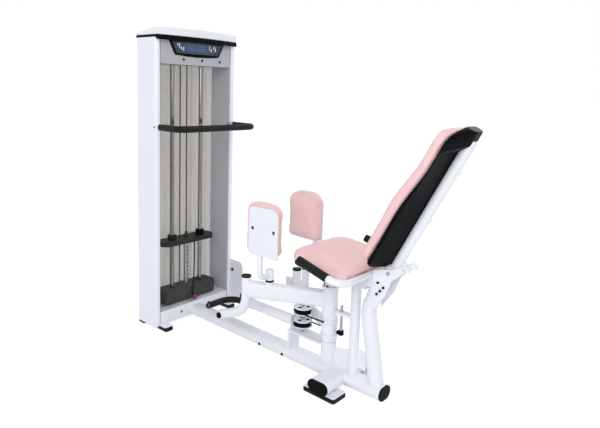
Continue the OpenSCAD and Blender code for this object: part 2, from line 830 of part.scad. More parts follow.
// Swinging arm: hub, cable drum, flat-oval beam, bent leg, and the pin that the thigh pad turns on.
// Where the beam runs below the leg's upright, a welded plate ties the two together.
module arm(s, hub, z, h, top, cable_z) {
    color("white") difference() {
        union() {
            translate([pivot_x, 0, hub[0]]) cylinder(d = post_d, h = hub[1] - hub[0]);
            translate([pivot_x, 0, cable_z - drum_h / 2]) cylinder(r = guide_r - 5, h = drum_h);
            on_arm(s) translate([-arm_reach, 0, z]) rotate([0, 90, 0])
                linear_extrude(arm_reach) flat_oval(h, min(beam_w, h - 2));
            on_leg(s) bent_bar(leg_path(top), leg_d, leg_bend_r, bend_neck);
            if (z + h / 2 < leg_arc_top) on_leg(s) translate([-62, -8, z]) cube([92, 16, 80]);
            on_arm(s) translate([-swivel_reach, 0, z]) cylinder(d = 36, h = swivel_base - collar_h - z);
            on_arm(s) translate([-swivel_reach, 0, z]) cylinder(d = swivel_pin_d, h = swivel_base + 44 - z);
        }
        translate([pivot_x, 0, hub[0] - 1]) cylinder(d = spindle_d + 2 * run_gap, h = hub[1] - hub[0] + 2);
    }
}

module left_arm() { arm(-1, left_hub, left_beam_z, beam_h, left_leg_top, left_cable_z); }
module right_arm() { arm(1, right_hub, right_beam_z, right_beam_h, right_leg_top, right_cable_z); }

// Black plug on the upright, bumper on the leg's outer side, and the collar under the swivel
module arm_caps(s, top) {
    foot = leg_path(top)[2];
    color("black") {
        on_leg(s) {
            translate([0, 0, top]) cylinder(d = leg_d + 2, h = 7);
            translate([foot.x + 12, s * (leg_d / 2 - 1), foot.z + 4]) rotate([-90 * s, 0, 0])
                cylinder(d = 28, h = 6);
        }
        on_arm(s) translate([-swivel_reach, 0, swivel_base - collar_h]) difference() {
            cylinder(d = 38, h = collar_h);
            translate([0, 0, -1]) cylinder(d = swivel_pin_d + 2 * seat_gap, h = collar_h + 2);
        }
    }
}

module left_arm_caps() { arm_caps(-1, left_leg_top); }
module right_arm_caps() { arm_caps(1, right_leg_top); }

// Swivel sleeve and bent post of a thigh pad
module pad_post(s) {
    x = hundredth(pivot_x - swivel_reach * cos(arm_angle));
    y = hundredth(s * swivel_reach * sin(arm_angle));
    post_y = s * (pad_y - pad_shell_t / 2);
    low = swivel_base + 8 + pad_post_d / 2;
    color("white") difference() {
        union() {
            translate([x, y, swivel_base + 0.5]) cylinder(d = 34, h = 46);
            bent_bar([[x, y, low], [x, post_y, low], [x, post_y, shell_low]], pad_post_d, 26);
        }
        translate([x, y, swivel_base - 1]) cylinder(d = swivel_pin_d + 2 * run_gap, h = 46);
    }
}

module left_pad_post() { pad_post(-1); }
module right_pad_post() { pad_post(1); }

// Frame of a thigh pad: X along the machine, Y up, Z towards the sitter's thigh
module on_pad(s) {
    translate([pivot_x - swivel_reach * cos(arm_angle) + pad_slide[s < 0 ? 0 : 1], s * pad_y, pad_z])
        rotate([90, 0, 0]) mirror([0, 0, s < 0 ? 1 : 0]) children();
}

// Back plate of a thigh pad, standing on its post: square below, round above, with two screw sinks
module pad_shell(s) {
    w = pad_w - 12;
    color("white") on_pad(s) translate([shell_shift, shell_low + shell_h / 2 - pad_z, 0]) difference() {
        linear_extrude(pad_shell_t) {
            round_rect(w, shell_h, 34);
            translate([0, -shell_h / 4]) round_rect(w, shell_h / 2, 9);
        }
        for (x = [-62, 62]) translate([x, 10, -1]) cylinder(d = 15, h = 3);
    }
}

module left_pad_shell() { pad_shell(-1); }
module right_pad_shell() { pad_shell(1); }

module pad_cushion(s) {
    color("pink") on_pad(s) translate([0, 0, pad_shell_t + cloth_gap])
        cushion(pad_w, pad_h, pad_t, 6, 26, 56, 24, 2.5);
}

module left_pad_cushion() { pad_cushion(-1); }
module right_pad_cushion() { pad_cushion(1); }

module at_back() {
    translate([recline_x, 0, recline_z]) rotate([0, recline, 0]) children();
}

// Straight back tube with its foot eye and the shell bolts along its rear
module backrest_tube() {
    color("white") at_back() difference() {
        union() {
            translate([0, 0, -12]) cylinder(d = back_tube_d, h = back_tube_l + 12);
            rotate([90, 0, 0]) cylinder(d = 46, h = 40, center = true);
            for (z = [65, 266, 480])
                translate([back_tube_d / 2 - 2, 0, z]) rotate([0, 90, 0]) cylinder(d = 12, h = 8);
        }
        rotate([90, 0, 0]) cylinder(d = 14 + 2 * run_gap, h = 60, center = true);
    }
}

// Frame of the back pad: X across, Y up the back, Z towards the sitter
module on_back() {
    at_back() translate([-back_rear, 0, back_foot + back_l / 2]) rotate([90, 0, -90]) children();
}

// Moulded shell behind the back cushion: thin rim, flanks that slope to a flat spine,
// and a hood over the tube's top
module back_shell() {
    deep = back_rear - back_tube_d / 2 - free_gap;
    color("black") {
        on_back() loft([for (v = cushion_rows(back_l - 6, 22))
            let (h = row_half(v, back_w - 8, back_l - 6, 26, 68, 4),
                 front = back_sway * cushion_sway(v, back_l) - 2 * cloth_gap,
                 rim = front - 0.35 * (front + deep),
                 spine = min(36, h * 0.5))
            [[-h, v, front], [-h - 0.5, v, rim], [-spine, v, -deep],
             [spine, v, -deep], [h + 0.5, v, rim], [h, v, front]]]);
        at_back() difference() {
            translate([-10.3, 0, back_tube_l - 20]) linear_extrude(56) round_rect(42, 76, 20);
            translate([0, 0, back_tube_l - 30]) cylinder(d = back_tube_d + 2 * seat_gap, h = 30);
            translate([-back_tube_d / 2 - free_gap - 60, -60, 0]) cube([60, 120, back_foot + back_l - 20]);
        }
    }
}

module back_cushion() {
    color("pink") on_back() cushion(back_w, back_l, back_t, 4, 44, 70, 26, 4, back_sway);
}

// Bolt heads on the outer faces of the recline plates
module recline_bolts() {
    color("dimgray") for (s = [-1, 1], p = [[485, 456], [499, 471], [513, 488], [488, 502]])
        translate([p.x, s * (clamp_half + 6.2), p.y]) rotate([-90 * s, 0, 0]) cylinder(d = 10, h = 5);
}

// Spring plunger that holds the arms' starting place
module start_plunger() {
    x = pivot_x + 62;
    color("silver") translate([x, 0, 232]) cylinder(d = 12, h = 110);
    color("black") {
        translate([x, 0, 214]) cylinder(d = 24, h = 18);
        translate([x - 20, -7, 214]) cube([20, 14, 12]);
    }
}

tower_column_left();
tower_column_right();
tower_base();
tower_top_beam();
cap_band();
tower_cap();
placard();
front_shield();
rear_shield();
guide_rods();
rod_bumpers();
grab_bar();
column_bracket();
tower_foot_pads();
base_rail();
rail_end_cap();
rear_foot();
rear_foot_caps();
rear_foot_pads();
pivot_post();
pulley_bracket();
foot_bar_stem();
foot_bar();
inner_post();
rear_post();
seat_frame();
seat_board();
seat_cushion();
seat_handle();
handle_grips();
recline_plates();
recline_bolts();
pulley_axles();
top_pulley();
base_pulley();
guide_pulley_upper();
guide_pulley_lower();
arm_cables();
return_cable();
lift_cable();
head_plate();
head_bushings();
selector_stem();
weight_plates();
selector_pin();
pin_lanyard();
left_arm();
left_arm_caps();
left_pad_post();
left_pad_shell();
left_pad_cushion();
right_arm();
right_arm_caps();
right_pad_post();
right_pad_shell();
right_pad_cushion();
backrest_tube();
back_shell();
back_cushion();
start_plunger();
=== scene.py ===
import math

import bmesh
import bpy
import numpy as np
from mathutils import Matrix, Vector


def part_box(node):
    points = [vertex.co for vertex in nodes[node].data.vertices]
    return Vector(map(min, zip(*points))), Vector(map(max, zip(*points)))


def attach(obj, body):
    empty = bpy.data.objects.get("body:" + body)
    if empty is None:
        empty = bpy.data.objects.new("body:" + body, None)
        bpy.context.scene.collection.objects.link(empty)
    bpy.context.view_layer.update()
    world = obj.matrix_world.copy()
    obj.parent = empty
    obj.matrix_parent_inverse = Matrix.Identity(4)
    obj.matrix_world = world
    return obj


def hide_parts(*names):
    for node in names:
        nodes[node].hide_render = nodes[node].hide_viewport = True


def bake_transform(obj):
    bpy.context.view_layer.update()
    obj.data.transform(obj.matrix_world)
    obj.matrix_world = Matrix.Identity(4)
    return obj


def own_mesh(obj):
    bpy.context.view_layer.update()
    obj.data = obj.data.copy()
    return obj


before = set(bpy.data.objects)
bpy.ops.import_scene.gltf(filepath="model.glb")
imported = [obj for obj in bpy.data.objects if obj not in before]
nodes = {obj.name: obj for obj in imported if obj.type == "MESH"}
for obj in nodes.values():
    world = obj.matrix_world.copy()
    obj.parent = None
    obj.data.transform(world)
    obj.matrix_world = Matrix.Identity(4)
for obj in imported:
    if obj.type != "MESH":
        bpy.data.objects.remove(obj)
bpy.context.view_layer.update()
scene = bpy.context.scene
scene.view_settings.view_transform = "Standard"


# Camera. It stands to the sitter's left and behind the seat, a little above the backrest,
# and looks across the machine at the tower. The vertical shift keeps the photograph's framing.
photo_width, focal_px, horizon_px, sensor_mm = 600, 543.3, -56.9, 36
eye = (1.573, -1.777, 1.235)
yaw, pitch, roll = (math.radians(a) for a in (40.84, 7.13, 1.79))
ahead = Vector((-math.sin(yaw), math.cos(yaw), 0))
aside = Vector((math.cos(yaw), math.sin(yaw), 0))
upright = Vector((0, 0, 1))
sight = math.cos(pitch) * ahead - math.sin(pitch) * upright
level = math.sin(pitch) * ahead + math.cos(pitch) * upright
right = math.cos(roll) * aside + math.sin(roll) * level
top = -math.sin(roll) * aside + math.cos(roll) * level
camera = bpy.data.objects.new("camera", bpy.data.cameras.new("camera"))
camera.data.sensor_width = sensor_mm
camera.data.lens = sensor_mm * focal_px / photo_width
camera.data.shift_y = horizon_px / photo_width
camera.data.clip_end = 300
camera.matrix_world = Matrix.Translation(eye) @ Matrix((right, top, -sight)).transposed().to_4x4()
scene.collection.objects.link(camera)
scene.camera = camera


# Studio. A wide pale floor under a white surround, lit by broad soft lamps,
# so the white enamel keeps its shading and the floor keeps a faint shadow.
def linear(hexcode):
    """Linear RGBA of an sRGB hex colour."""
    parts = [int(hexcode[i:i + 2], 16) / 255 for i in (1, 3, 5)]
    return [c / 12.92 if c <= 0.04045 else ((c + 0.055) / 1.055) ** 2.4 for c in parts] + [1]


def add(tree, kind, inputs=None, **settings):
    """Add a node, set its properties, and set or link its inputs by name or index."""
    node = tree.nodes.new(kind)
    for key, value in settings.items():
        setattr(node, key, value)
    for key, value in (inputs or {}).items():
        socket = node.inputs[key]
        if isinstance(value, bpy.types.NodeSocket):
            tree.links.new(value, socket)
        else:
            socket.default_value = value
    return node


def new_material(name):
    """An empty node material and its tree."""
    material = bpy.data.materials.new(name)
    material.use_nodes = True
    material.node_tree.nodes.clear()
    return material, material.node_tree


def looked_at(tree):
    """One on a ray that the eye follows, straight, mirrored or through a sheet, and else zero."""
    ray = add(tree, "ShaderNodeLightPath").outputs
    seen = add(tree, "ShaderNodeMath", {0: ray["Is Camera Ray"], 1: ray["Is Glossy Ray"]},
               operation="MAXIMUM").outputs[0]
    return add(tree, "ShaderNodeMath", {0: seen, 1: ray["Is Transmission Ray"]},
               operation="MAXIMUM").outputs[0]


surround = bpy.data.worlds.new("surround")
surround.use_nodes = True
tree = surround.node_tree
tree.nodes.clear()
seen = looked_at(tree)
soft = add(tree, "ShaderNodeBackground", {"Color": linear("#F6F7FA"), "Strength": 0.73}).outputs[0]
white = add(tree, "ShaderNodeBackground", {"Color": (1, 1, 1, 1), "Strength": 1.0}).outputs[0]
lit = add(tree, "ShaderNodeMixShader", {0: seen, 1: soft, 2: white}).outputs[0]
add(tree, "ShaderNodeOutputWorld", {"Surface": lit})
scene.world = surround

floor_half, floor_z = 60, -0.0005
floor_mesh = bpy.data.meshes.new("floor")
floor_mesh.from_pydata([(x * floor_half, y * floor_half, floor_z)
                        for x, y in ((-1, -1), (1, -1), (1, 1), (-1, 1))], [], [(0, 1, 2, 3)])
floor = bpy.data.objects.new("floor", floor_mesh)
scene.collection.objects.link(floor)
pale, tree = new_material("pale studio floor")
share = add(tree, "ShaderNodeMath", {0: looked_at(tree), 1: 0.62}, operation="MULTIPLY").outputs[0]
matt = add(tree, "ShaderNodeBsdfDiffuse", {"Color": linear("#F2F2F4")}).outputs[0]
glow = add(tree, "ShaderNodeEmission", {"Color": (1, 1, 1, 1), "Strength": 1.32}).outputs[0]
ground = add(tree, "ShaderNodeMixShader", {0: share, 1: matt, 2: glow}).outputs[0]
add(tree, "ShaderNodeOutputMaterial", {"Surface": ground})
floor_mesh.materials.append(pale)

for name, stand, aim, size, power in (
        ("key lamp", (1.5, -2.5, 2.0), (0, 0, 0.5), 2.0, 40),
        ("fill lamp", (-2.4, -2.2, 2.0), (-0.3, 0, 0.7), 2.4, 3),
        ("back lamp", (0.6, 3.2, 3.0), (0, 0, 0.6), 2.4, 30)):
    lamp = bpy.data.objects.new(name, bpy.data.lights.new(name, "AREA"))
    lamp.data.size = size
    lamp.data.energy = power
    lamp.location = stand
    lamp.rotation_euler = (Vector(aim) - Vector(stand)).to_track_quat("-Z", "Y").to_euler()
    scene.collection.objects.link(lamp)


# Base weldment: rail, cross foot, pivot column, uprights and shelf. Steel tube and plate, welded,
# blasted and powder coated white; the baked coat rounds every edge and keeps a faint orange peel,
# which is drawn coarse, at 3.5 mm, so that it shows.
enamel, tree = new_material("white powder coat")
place = add(tree, "ShaderNodeTexCoord").outputs["Object"]
peel = add(tree, "ShaderNodeTexNoise", {"Vector": place, "Scale": 1000 / 3.5, "Detail": 2.0}).outputs["Fac"]
cloud = add(tree, "ShaderNodeTexNoise", {"Vector": place, "Scale": 1000 / 240, "Detail": 3.0}).outputs["Fac"]
tone = add(tree, "ShaderNodeMix", {0: cloud, 6: linear("#E8EAF0"), 7: linear("#F1F3F7")},
           data_type="RGBA").outputs[2]
gloss = add(tree, "ShaderNodeMapRange", {"Value": cloud, "To Min": 0.28, "To Max": 0.42}).outputs["Result"]
edge = add(tree, "ShaderNodeBevel", {"Radius": 0.002}, samples=4).outputs["Normal"]
relief = add(tree, "ShaderNodeBump", {
    "Strength": 0.06, "Distance": 0.0003, "Height": peel, "Normal": edge}).outputs[0]
coat = add(tree, "ShaderNodeBsdfPrincipled", {
    "Base Color": tone, "Roughness": gloss, "IOR": 1.5, "Coat Weight": 0.25,
    "Coat Roughness": 0.15, "Normal": relief}).outputs[0]
add(tree, "ShaderNodeOutputMaterial", {"Surface": coat})


def dress(material, *names):
    """Give CAD nodes one material."""
    for name in names:
        nodes[name].data.materials.clear()
        nodes[name].data.materials.append(material)


def touch_up(name, material, chosen):
    """Give a second finish to the faces of a CAD node whose centre and normal are chosen."""
    mesh = nodes[name].data
    mesh.materials.append(material)
    for face in mesh.polygons:
        if chosen(face.center, face.normal):
            face.material_index = len(mesh.materials) - 1


dress(enamel, "base_rail", "rear_foot", "pivot_post", "pulley_bracket", "foot_bar_stem", "inner_post",
      "rear_post")


# Socket screws of the base: the bolts of the pivot column's top disc, and two in the rail's side.
# Turned steel, dark and a little oily from its black oxide; bright zinc plate shows in some sockets.
# A row is grown by Geometry Nodes: a chamfered head with a sunk socket, set at even steps.
oxide, tree = new_material("black oxide steel")
place = add(tree, "ShaderNodeTexCoord").outputs["Object"]
film = add(tree, "ShaderNodeTexNoise", {"Vector": place, "Scale": 1000 / 9, "Detail": 3.0}).outputs["Fac"]
tone = add(tree, "ShaderNodeMix", {0: film, 6: linear("#191A1B"), 7: linear("#2A2A2C")},
           data_type="RGBA").outputs[2]
gloss = add(tree, "ShaderNodeMapRange", {"Value": film, "To Min": 0.32, "To Max": 0.5}).outputs["Result"]
steel = add(tree, "ShaderNodeBsdfPrincipled", {
    "Base Color": tone, "Metallic": 0.85, "Roughness": gloss}).outputs[0]
add(tree, "ShaderNodeOutputMaterial", {"Surface": steel})

zinc, tree = new_material("zinc-plated steel")
place = add(tree, "ShaderNodeTexCoord").outputs["Object"]
cloud = add(tree, "ShaderNodeTexNoise", {"Vector": place, "Scale": 1000 / 12, "Detail": 3.0}).outputs["Fac"]
tone = add(tree, "ShaderNodeMix", {0: cloud, 6: linear("#9A9CA0"), 7: linear("#BDBFC2")},
           data_type="RGBA").outputs[2]
gloss = add(tree, "ShaderNodeMapRange", {"Value": cloud, "To Min": 0.25, "To Max": 0.42}).outputs["Result"]
plated = add(tree, "ShaderNodeBsdfPrincipled", {
    "Base Color": tone, "Metallic": 1.0, "Roughness": gloss}).outputs[0]
add(tree, "ShaderNodeOutputMaterial", {"Surface": plated})

screw_row = bpy.data.node_groups.new("socket screw row", "GeometryNodeTree")
for name, kind in (("Start", "NodeSocketVector"), ("Step", "NodeSocketVector"),
                   ("Count", "NodeSocketInt"), ("Radius", "NodeSocketFloat"),
                   ("Height", "NodeSocketFloat"), ("Turn", "NodeSocketVector"),
                   ("Finish", "NodeSocketMaterial"), ("Socket", "NodeSocketMaterial")):
    screw_row.interface.new_socket(name, in_out="INPUT", socket_type=kind)
screw_row.interface.new_socket("Screws", in_out="OUTPUT", socket_type="NodeSocketGeometry")
given = add(screw_row, "NodeGroupInput").outputs
line = add(screw_row, "GeometryNodeMeshLine", {
    "Count": given["Count"], "Start Location": given["Start"], "Offset": given["Step"]},
    mode="OFFSET").outputs["Mesh"]
crown = add(screw_row, "ShaderNodeMath", {0: given["Radius"], 1: 0.86}, operation="MULTIPLY").outputs[0]
head = add(screw_row, "GeometryNodeMeshCone", {
    "Vertices": 24, "Radius Bottom": given["Radius"], "Radius Top": crown, "Depth": given["Height"]}).outputs
body = add(screw_row, "GeometryNodeSetMaterial", {
    "Geometry": head["Mesh"], "Material": given["Finish"]}).outputs[0]
inset = add(screw_row, "GeometryNodeExtrudeMesh", {
    "Mesh": body, "Selection": head["Top"], "Offset Scale": 0.0}, mode="FACES").outputs
ring = add(screw_row, "GeometryNodeScaleElements", {
    "Geometry": inset["Mesh"], "Selection": inset["Top"], "Scale": 0.55}, domain="FACE").outputs["Geometry"]
drop = add(screw_row, "ShaderNodeMath", {0: given["Height"], 1: -0.6}, operation="MULTIPLY").outputs[0]
sunk = add(screw_row, "GeometryNodeExtrudeMesh", {
    "Mesh": ring, "Selection": inset["Top"], "Offset Scale": drop}, mode="FACES").outputs
turned_to = add(screw_row, "FunctionNodeEulerToRotation", {"Euler": given["Turn"]}).outputs["Rotation"]
placed = add(screw_row, "GeometryNodeInstanceOnPoints", {
    "Points": line, "Instance": sunk["Mesh"], "Rotation": turned_to}).outputs["Instances"]
solid = add(screw_row, "GeometryNodeRealizeInstances", {"Geometry": placed}).outputs["Geometry"]
dressed = add(screw_row, "GeometryNodeSetMaterial", {
    "Geometry": solid, "Selection": sunk["Top"], "Material": given["Socket"]}).outputs["Geometry"]
add(screw_row, "NodeGroupOutput", {"Screws": dressed})


def screws(name, body, start, step, count, radius, height, turn, socket=oxide):
    """One row of black socket screws as a mesh that rides with a body."""
    row = bpy.data.objects.new(name, bpy.data.meshes.new(name))
    scene.collection.objects.link(row)
    grow = row.modifiers.new("row", "NODES")
    grow.node_group = screw_row
    given = dict(Start=start, Step=step, Count=count, Radius=radius, Height=height,
                 Turn=[math.radians(a) for a in turn], Finish=oxide, Socket=socket)
    for item in screw_row.interface.items_tree:
        if item.in_out == "INPUT":
            grow[item.identifier] = given[item.name]
    row.data = bpy.data.meshes.new_from_object(row.evaluated_get(bpy.context.evaluated_depsgraph_get()))
    row.modifiers.clear()
    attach(row, body)


screws("rail_screws", "frame", start=(-0.146, -0.0385, 0.035), step=(0.145, 0, 0), count=2,
       radius=0.007, height=0.004, turn=(90, 0, 0))
disc_top = 0.4142
touch_up("pivot_post", oxide, lambda centre, normal: centre.z > disc_top)


# Plugs of the rail and cross foot. Injection-moulded black ABS, pressed into the tubes,
# with a leather-like mould grain that breaks up its highlights; the grain is drawn at 1.8 mm,
# coarser than real, so that it shows.
trim, tree = new_material("black moulded ABS")
place = add(tree, "ShaderNodeTexCoord").outputs["Object"]
grain = add(tree, "ShaderNodeTexVoronoi", {"Vector": place, "Scale": 1000 / 1.8}).outputs["Distance"]
cloud = add(tree, "ShaderNodeTexNoise", {"Vector": place, "Scale": 1000 / 90, "Detail": 3.0}).outputs["Fac"]
tone = add(tree, "ShaderNodeMix", {0: cloud, 6: linear("#08090A"), 7: linear("#121315")},
           data_type="RGBA").outputs[2]
gloss = add(tree, "ShaderNodeMapRange", {"Value": cloud, "To Min": 0.28, "To Max": 0.42}).outputs["Result"]
edge = add(tree, "ShaderNodeBevel", {"Radius": 0.0018}, samples=4).outputs["Normal"]
relief = add(tree, "ShaderNodeBump", {
    "Strength": 0.12, "Distance": 0.0003, "Height": grain, "Normal": edge}).outputs[0]
black = add(tree, "ShaderNodeBsdfPrincipled", {
    "Base Color": tone, "Roughness": gloss, "IOR": 1.53, "Specular IOR Level": 0.03,
    "Normal": relief}).outputs[0]
add(tree, "ShaderNodeOutputMaterial", {"Surface": black})
dress(trim, "rail_end_cap", "rear_foot_caps")


# Floor pads under the tower and the cross foot. Black compression-moulded rubber, bolted from below and
# wrapped up round the foot plates' edges; matt, slightly bloomed, and lighter where it has been rubbed.
# Its pores are drawn at 1.5 mm, coarser than real, so that they show.
rubber, tree = new_material("black moulded rubber")
place = add(tree, "ShaderNodeTexCoord").outputs["Object"]
pores = add(tree, "ShaderNodeTexNoise", {"Vector": place, "Scale": 1000 / 1.5, "Detail": 3.0}).outputs["Fac"]
bloom = add(tree, "ShaderNodeTexNoise", {"Vector": place, "Scale": 1000 / 50, "Detail": 3.0}).outputs["Fac"]
tone = add(tree, "ShaderNodeMix", {0: bloom, 6: linear("#0F0F10"), 7: linear("#1C1C1E")},
           data_type="RGBA").outputs[2]
gloss = add(tree, "ShaderNodeMapRange", {"Value": bloom, "To Min": 0.42, "To Max": 0.6}).outputs["Result"]
edge = add(tree, "ShaderNodeBevel", {"Radius": 0.002}, samples=4).outputs["Normal"]
relief = add(tree, "ShaderNodeBump", {
    "Strength": 0.2, "Distance": 0.0003, "Height": pores, "Normal": edge}).outputs[0]
skin = add(tree, "ShaderNodeBsdfPrincipled", {
    "Base Color": tone, "Roughness": gloss, "IOR": 1.52, "Specular IOR Level": 0.15,
    "Normal": relief}).outputs[0]
add(tree, "ShaderNodeOutputMaterial", {"Surface": skin})
dress(rubber, "rear_foot_pads", "tower_foot_pads")
foot_plate_t = 0.0085
plate_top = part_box("rear_foot_pads")[1].z + foot_plate_t
touch_up("rear_foot", rubber, lambda centre, normal: centre.z < plate_top and abs(normal.z) < 0.5)


# Tower: two drawn flat-oval columns with a folded base and a bracket on the right column, in the same coat.
# The columns' inner walls and the top channel carry a flat grey as painted shade, for the shade that falls
# there, with a fine speckle drawn at 2 mm so that it shows. Black socket screws hold the bracket, the base
# and the hood's straps.
dress(enamel, "tower_column_left", "tower_column_right", "tower_base", "column_bracket")
painted_shade_grey, tree = new_material("grey coat with painted shade")
place = add(tree, "ShaderNodeTexCoord").outputs["Object"]
flake = add(tree, "ShaderNodeTexNoise", {"Vector": place, "Scale": 1000 / 2, "Detail": 3.0}).outputs["Fac"]
# Painted shade: these greys stand for the shade on the columns' inner walls and in the top channel.
tone = add(tree, "ShaderNodeMix", {0: flake, 6: linear("#A5A6AB"), 7: linear("#BFC0C5")},
           data_type="RGBA").outputs[2]
edge = add(tree, "ShaderNodeBevel", {"Radius": 0.002}, samples=4).outputs["Normal"]
coat = add(tree, "ShaderNodeBsdfPrincipled", {
    "Base Color": tone, "Roughness": 0.38, "IOR": 1.5, "Specular IOR Level": 0.3, "Normal": edge}).outputs[0]
add(tree, "ShaderNodeOutputMaterial", {"Surface": coat})
# Painted shade: the grey goes on the top channel and on the columns' inner walls, which face the stack and
# sit in shade.
dress(painted_shade_grey, "tower_top_beam")
for name, sign in (("tower_column_left", 1), ("tower_column_right", -1)):
    touch_up(name, painted_shade_grey, lambda centre, normal: sign * normal.y > 0.7)
    touch_up(name, rubber, lambda centre, normal: centre.z < plate_top and abs(normal.z) < 0.5)
bracket_low, bracket_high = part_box("column_bracket")
screws("bracket_bolt", "frame", start=(bracket_high.x - 0.078, bracket_low.y - 0.0015, 0.21), step=(0, 0, 0),
       count=1, radius=0.009, height=0.004, turn=(90, 0, 0), socket=zinc)
base_face, channel_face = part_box("tower_base")[1].x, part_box("tower_top_beam")[1].x
screws("base_screws", "frame", start=(base_face + 0.001, -0.0916, 0.05), step=(0, 0.1832, 0), count=2,
       radius=0.006, height=0.003, turn=(0, 90, 0), socket=zinc)
screws("hood_screws", "frame", start=(channel_face + 0.001, -0.0845, 1.364), step=(0, 0.1165, 0), count=3,
       radius=0.006, height=0.003, turn=(0, 90, 0))


# Guide rods and their bumpers. Ground steel bar, hard chromed; faint turning marks run round each rod.
# The chrome's colour is darkened as painted shade, for the dim tower it mirrors, so it reads as a grey line
# with a bright core. The bumpers are rubber rings.
chrome, tree = new_material("hard chrome")
place = add(tree, "ShaderNodeTexCoord").outputs["Object"]
ridges = add(tree, "ShaderNodeMapping", {"Vector": place, "Scale": (1, 1, 40)}).outputs[0]
turned = add(tree, "ShaderNodeTexNoise", {
    "Vector": ridges, "Scale": 1000 / 60, "Detail": 2.0}).outputs["Fac"]
gloss = add(tree, "ShaderNodeMapRange", {"Value": turned, "To Min": 0.08, "To Max": 0.18}).outputs["Result"]
# Painted shade: the dark grey base colour stands in for the dim tower that the chrome would mirror.
rod = add(tree, "ShaderNodeBsdfPrincipled", {
    "Base Color": linear("#8C8C8A"), "Metallic": 1.0, "Roughness": gloss}).outputs[0]
add(tree, "ShaderNodeOutputMaterial", {"Surface": rod})
dress(chrome, "guide_rods")
dress(rubber, "rod_bumpers")


# Weight stack: head plate and plates. Iron castings with a sandy skin that is paler along the worn edges,
# the head dipped black and the plates enamelled dark grey. The bushings are black ABS and the drilled
# stem is plated.
def cast_iron(name, low, high):
    """Coated cast iron: the mould's sand shows through the coat, drawn at 2.5 mm so that it shows."""
    iron, tree = new_material(name)
    place = add(tree, "ShaderNodeTexCoord").outputs["Object"]
    sand = add(tree, "ShaderNodeTexNoise", {
        "Vector": place, "Scale": 1000 / 2.5, "Detail": 4.0}).outputs["Fac"]
    tone = add(tree, "ShaderNodeMix", {0: sand, 6: linear(low), 7: linear(high)},
               data_type="RGBA").outputs[2]
    edge = add(tree, "ShaderNodeBevel", {"Radius": 0.003}, samples=4).outputs["Normal"]
    flat = add(tree, "ShaderNodeNewGeometry").outputs["Normal"]
    worn = add(tree, "ShaderNodeVectorMath", {0: edge, 1: flat}, operation="DOT_PRODUCT").outputs["Value"]
    rub = add(tree, "ShaderNodeMapRange", {
        "Value": worn, "From Min": 0.98, "From Max": 0.8, "To Max": 0.5}).outputs["Result"]
    tone = add(tree, "ShaderNodeMix", {0: rub, 6: tone, 7: linear("#5E5F5C")}, data_type="RGBA").outputs[2]
    relief = add(tree, "ShaderNodeBump", {
        "Strength": 0.2, "Distance": 0.0004, "Height": sand, "Normal": edge}).outputs[0]
    cast = add(tree, "ShaderNodeBsdfPrincipled", {
        "Base Color": tone, "Roughness": 0.5, "IOR": 1.5, "Specular IOR Level": 0.2,
        "Normal": relief}).outputs[0]
    add(tree, "ShaderNodeOutputMaterial", {"Surface": cast})
    return iron


dress(cast_iron("black dipped cast iron", "#131413", "#272826"), "head_plate")
dress(cast_iron("grey enamelled cast iron", "#2C2E2C", "#484B47"), "weight_plates")
dress(trim, "head_bushings")
dress(zinc, "selector_stem")


# Selector pin. A plated steel pin with a turned red phenolic ball on its end, polished enough to show
# the lamps. A sleeved black cord hangs to it from the head plate.
ball, tree = new_material("red phenolic ball")
place = add(tree, "ShaderNodeTexCoord").outputs["Object"]
swirl = add(tree, "ShaderNodeTexNoise", {"Vector": place, "Scale": 1000 / 8, "Detail": 3.0}).outputs["Fac"]
tone = add(tree, "ShaderNodeMix", {0: swirl, 6: linear("#4E0610"), 7: linear("#7C101E")},
           data_type="RGBA").outputs[2]
knob = add(tree, "ShaderNodeBsdfPrincipled", {"Base Color": tone, "Roughness": 0.18, "IOR": 1.6}).outputs[0]
add(tree, "ShaderNodeOutputMaterial", {"Surface": knob})
ball_d = 0.0305
pin_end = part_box("selector_pin")[1].x
dress(zinc, "selector_pin")
touch_up("selector_pin", ball, lambda centre, normal: centre.x > pin_end - ball_d)


def rope(name, path, radius):
    """A sleeved six-strand rope along a path; its strands show through the sleeve as a slow twist."""
    strands, lay, sides, along = 6, 0.075, 36, 0
    corners, faces = [], []
    for i, point in enumerate(path):
        before, after = path[max(i - 1, 0)], path[min(i + 1, len(path) - 1)]
        onward = (after - before).normalized()
        across = (Vector((1, 0, 0)) - onward.x * onward).normalized()
        third = onward.cross(across)
        along += (point - before).length
        for k in range(sides):
            turn = 2 * math.pi * k / sides
            r = radius * (0.94 + 0.06 * math.cos(strands * (turn - 2 * math.pi * along / lay)))
            corners.append(point + r * (math.cos(turn) * across + math.sin(turn) * third))
            if i:
                a, b = (i - 1) * sides, i * sides
                faces.append((a + k, a + (k + 1) % sides, b + (k + 1) % sides, b + k))
    faces += [tuple(reversed(range(sides))), tuple(range(len(corners) - sides, len(corners)))]
    mesh = bpy.data.meshes.new(name)
    mesh.from_pydata(corners, [], faces)
    mesh.polygons.foreach_set("use_smooth", [len(f) == 4 for f in faces])
    mesh.materials.append(trim)
    piece = bpy.data.objects.new(name, mesh)
    scene.collection.objects.link(piece)
    return piece


cord_r, cord_steps = 0.0033, 70
hung = Vector((-0.7185, 0.0217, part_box("pin_lanyard")[1].z))
tied = Vector((-0.7045, 0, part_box("pin_lanyard")[0].z))
slack = Vector((-0.707, 0.016, 0.25))
cord = rope("pin_cord", [(1 - s) ** 2 * hung + 2 * s * (1 - s) * slack + s * s * tied
                         for s in (i / cord_steps for i in range(cord_steps + 1))], cord_r)
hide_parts("pin_lanyard")
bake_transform(cord)
